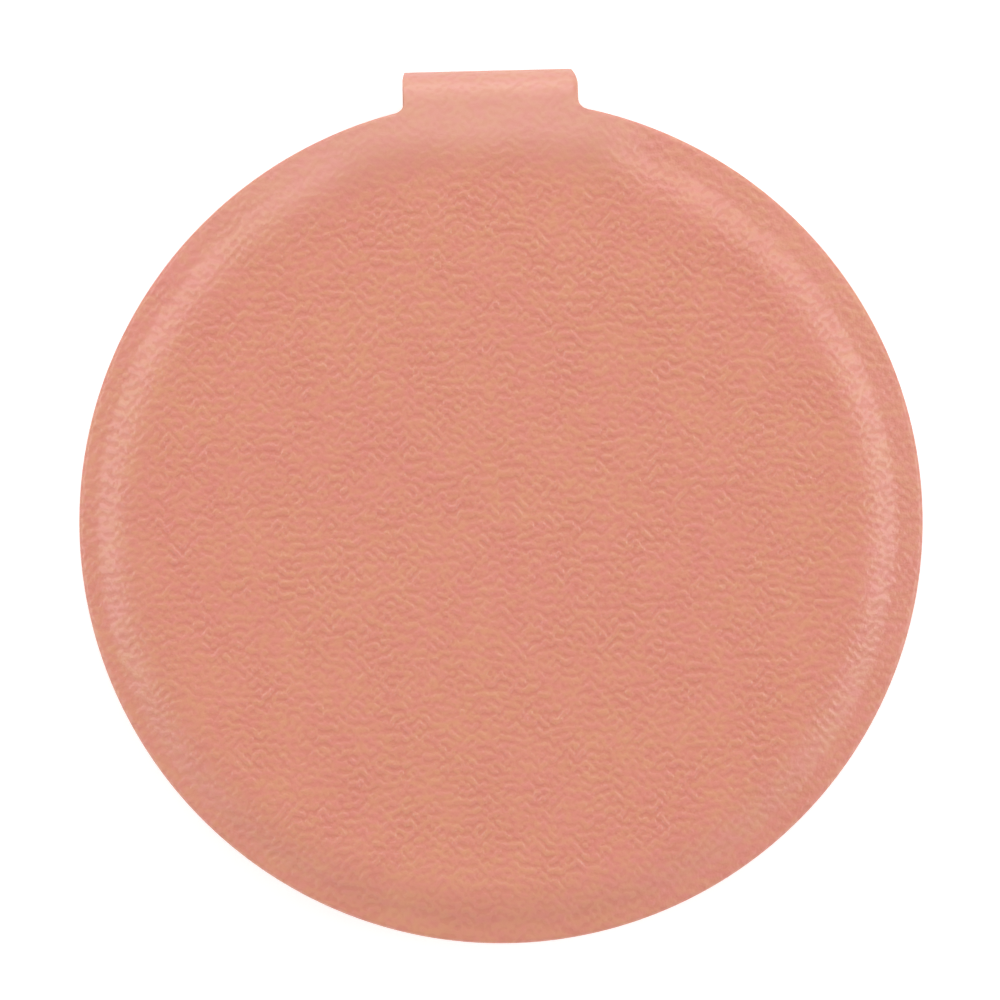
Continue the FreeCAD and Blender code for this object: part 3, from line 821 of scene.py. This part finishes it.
outer_leather = leather_finish(
    "outer_leather",
    tan=(0.680, 0.246, 0.102, 1.0),
    pink=(0.698, 0.184, 0.130, 1.0),
    # the darkest colour, painted shade in the grain's creases
    painted_crease_shade=(0.570, 0.112, 0.044, 1.0),
    pale=(0.540, 0.230, 0.161, 1.0),
    backing=(0.62, 0.42, 0.33, 1.0),
    spacing=0.65 * MM,
    depth=0.074 * MM,
    roughness=0.42,
    shine=0.95,
)
lining_leather = leather_finish(
    "lining_leather",
    tan=(0.640, 0.235, 0.120, 1.0),
    pink=(0.660, 0.200, 0.140, 1.0),
    # the darkest colour, painted shade in the grain's creases
    painted_crease_shade=(0.580, 0.165, 0.090, 1.0),
    pale=(0.620, 0.250, 0.150, 1.0),
    backing=(0.60, 0.41, 0.33, 1.0),
    spacing=0.42 * MM,
    depth=0.04 * MM,
    roughness=0.44,
    shine=0.5,
)
greyboard = speckled_finish(
    "greyboard", (0.30, 0.29, 0.27, 1.0), (0.42, 0.41, 0.38, 1.0), 2600.0, 0.03 * MM, 0.82
)
tape = speckled_finish("tape", (0.74, 0.73, 0.69, 1.0), (0.82, 0.81, 0.79, 1.0), 1500.0, 0.01 * MM, 0.45)
foam = foam_finish("foam")
mirror_glass_finish = silvered_finish(
    "mirror_glass", (0.91, 0.93, 0.93, 1.0), (0.87, 0.90, 0.90, 1.0), 40.0, 0.012, 0.025
)
magnet = silvered_finish("magnet", (0.68, 0.67, 0.65, 1.0), (0.58, 0.57, 0.56, 1.0), 900.0, 0.2, 0.15)


# The pieces in their places. Both leaves hold the same pieces; the back wall, lining ring, glass and
# cushion are parented to their own leaf's body.
CAD_FINISHES = (("board", greyboard), ("frame_ring", greyboard), ("mirror_tape", tape), ("magnet", magnet))


for leaf in ("base", "lid"):
    leather = leather_sheet(leaf, outer_leather)
    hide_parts(f"{leaf}_cover", "hinge_strap")
    ply = fold_ply(leaf, lining_leather)
    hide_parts("hinge_lining")
    for piece, slot in ((leather, "outer_leather"), (ply, "lining_leather")):
        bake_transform(piece)
    cushion = foam_cushion(leaf, foam)
    riders = (
        (back_wall(leaf, outer_leather), "cover", "outer_leather"),
        (lining_ring(leaf, lining_leather), "lining", "lining_leather"),
        (mirror_glass(leaf, mirror_glass_finish), "mirror", "mirror_glass"),
        (cushion, "foam_pad", "foam"),
    )
    for piece, node, slot in riders:
        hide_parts(f"{leaf}_{node}")
        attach(piece, leaf)
    for node, material in CAD_FINISHES:
        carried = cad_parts[f"{leaf}_{node}"].data.materials
        carried.clear()
        carried.append(material)

# The stage: a white floor that keeps a soft shadow, a pale world and a studio's soft boxes
FLOOR_HALF = 3.0
FLOOR_WHITE = (0.9, 0.9, 0.9, 1.0)
FLOOR_LIFT = 0.45
FLOOR_ROUGHNESS = 0.9
WORLD_LEVEL = 0.495
LAMP_DISTANCE = 0.7
WATTS_FOR_WHITE = 4

# Each soft box: name, azimuth, zenith angle, width and height in degrees, and level
SOFT_BOXES = (
    ("back_box", 90, 38, 34, 28, 0.88),
    ("low_back_box", 90, 63, 36, 18, 1.00),
    ("far_back_box", 90, 80, 30, 12, 2.80),
    ("back_right_box", 48, 48, 45, 22, 1.20),
    ("back_left_box", 135, 48, 45, 22, 1.42),
    ("right_box", 2, 48, 38, 22, 2.45),
    ("left_box", 180, 48, 45, 22, 1.66),
    ("front_right_box", 315, 45, 45, 24, 0.50),
    ("front_left_box", 225, 45, 45, 24, 0.38),
    ("low_right_box", 335, 79, 60, 14, 1.00),
    ("low_left_box", 210, 79, 60, 14, 0.80),
    ("low_front_box", 270, 79, 60, 14, 0.25),
)


def white_floor():
    """A wide plane under the compact, which looks white to the eye and in reflections and takes shadows."""
    mesh = bpy.data.meshes.new("floor")
    x, y = np.meshgrid([-FLOOR_HALF, FLOOR_HALF], [-FLOOR_HALF, FLOOR_HALF])
    corners = np.stack([x, y, np.zeros_like(x)], -1).reshape(-1, 3)
    mesh.from_pydata(corners.tolist(), [], [(0, 1, 3, 2)])
    material, tree, shader = new_finish("floor_white")
    shader.inputs["Base Color"].default_value = FLOOR_WHITE
    shader.inputs["Roughness"].default_value = FLOOR_ROUGHNESS
    shader.inputs["Specular IOR Level"].default_value = 0.0
    seen = add_node(tree, "ShaderNodeLightPath").outputs
    ray = calculate(tree, "ADD", seen["Is Camera Ray"], seen["Is Glossy Ray"])
    ray = calculate(tree, "ADD", ray, seen["Is Transmission Ray"])
    shader.inputs["Emission Color"].default_value = (1.0, 1.0, 1.0, 1.0)
    tree.links.new(calculate(tree, "MULTIPLY", ray, FLOOR_LIFT), shader.inputs["Emission Strength"])
    mesh.materials.append(material)
    floor = bpy.data.objects.new("floor", mesh)
    bpy.context.scene.collection.objects.link(floor)


def soft_box(name, azimuth, zenith, wide, tall, level):
    """A rectangle of light that faces the compact, by direction and span in degrees.

    The azimuth is counted from the right, with the hinge at 90, and the zenith angle from straight above.
    Level is the box's brightness, where 1 is a white surface's, which takes 4 watts to a square metre.
    """
    turn, lean = radians(azimuth), radians(zenith)
    towards = Vector((np.sin(lean) * np.cos(turn), np.sin(lean) * np.sin(turn), np.cos(lean)))
    light = bpy.data.lights.new(name, "AREA")
    light.shape = "RECTANGLE"
    light.size = 2 * LAMP_DISTANCE * np.sin(lean) * np.tan(radians(wide / 2))
    light.size_y = 2 * LAMP_DISTANCE * np.tan(radians(tall / 2))
    light.energy = level * WATTS_FOR_WHITE * light.size * light.size_y
    lamp = bpy.data.objects.new(name, light)
    lamp.location = towards * LAMP_DISTANCE
    lamp.rotation_mode = "QUATERNION"
    lamp.rotation_quaternion = (-towards).to_track_quat("-Z", "Y")
    bpy.context.scene.collection.objects.link(lamp)


white_floor()
for box in SOFT_BOXES:
    soft_box(*box)

world = bpy.data.worlds.new("pale_world")
world.use_nodes = True
background = world.node_tree.nodes["Background"]
background.inputs["Color"].default_value = (1.0, 1.0, 1.0, 1.0)
background.inputs["Strength"].default_value = WORLD_LEVEL
bpy.context.scene.world = world
bpy.context.scene.view_settings.view_transform = "Standard"

# The camera: straight above and far off, as in the photograph, with the disc a little below the middle
PHOTO_WIDTH = 1000
DISC_PIXEL = (501.4, 521.9)
DISC_PIXEL_RADIUS = 422.0
PHOTO_ROLL = radians(1.41)
CAMERA_DISTANCE = 0.9
CAMERA_LEAN = radians(1.2)
LEAN_TURN = radians(150.0)
SENSOR_WIDTH = 36.0

camera = bpy.data.objects.new("camera", bpy.data.cameras.new("camera"))
bpy.context.scene.collection.objects.link(camera)
bpy.context.scene.camera = camera
pixel = DISC_RADIUS / DISC_PIXEL_RADIUS
camera.data.sensor_width = SENSOR_WIDTH
camera.data.lens = SENSOR_WIDTH * CAMERA_DISTANCE / (pixel * PHOTO_WIDTH)
towards = Vector((
    np.sin(CAMERA_LEAN) * np.cos(LEAN_TURN),
    np.sin(CAMERA_LEAN) * np.sin(LEAN_TURN),
    np.cos(CAMERA_LEAN),
))
up = Vector((np.sin(PHOTO_ROLL), np.cos(PHOTO_ROLL), 0.0))
right = up.cross(towards).normalized()
up = towards.cross(right)
rim_top = Vector((0.0, 0.0, CLOSED_HEIGHT - FOLD_DROP))
middle = PHOTO_WIDTH / 2
aim = rim_top + right * (middle - DISC_PIXEL[0]) * pixel + up * (DISC_PIXEL[1] - middle) * pixel
turn = Matrix((right, up, towards)).transposed().to_4x4()
camera.matrix_world = Matrix.Translation(aim + towards * CAMERA_DISTANCE) @ turn
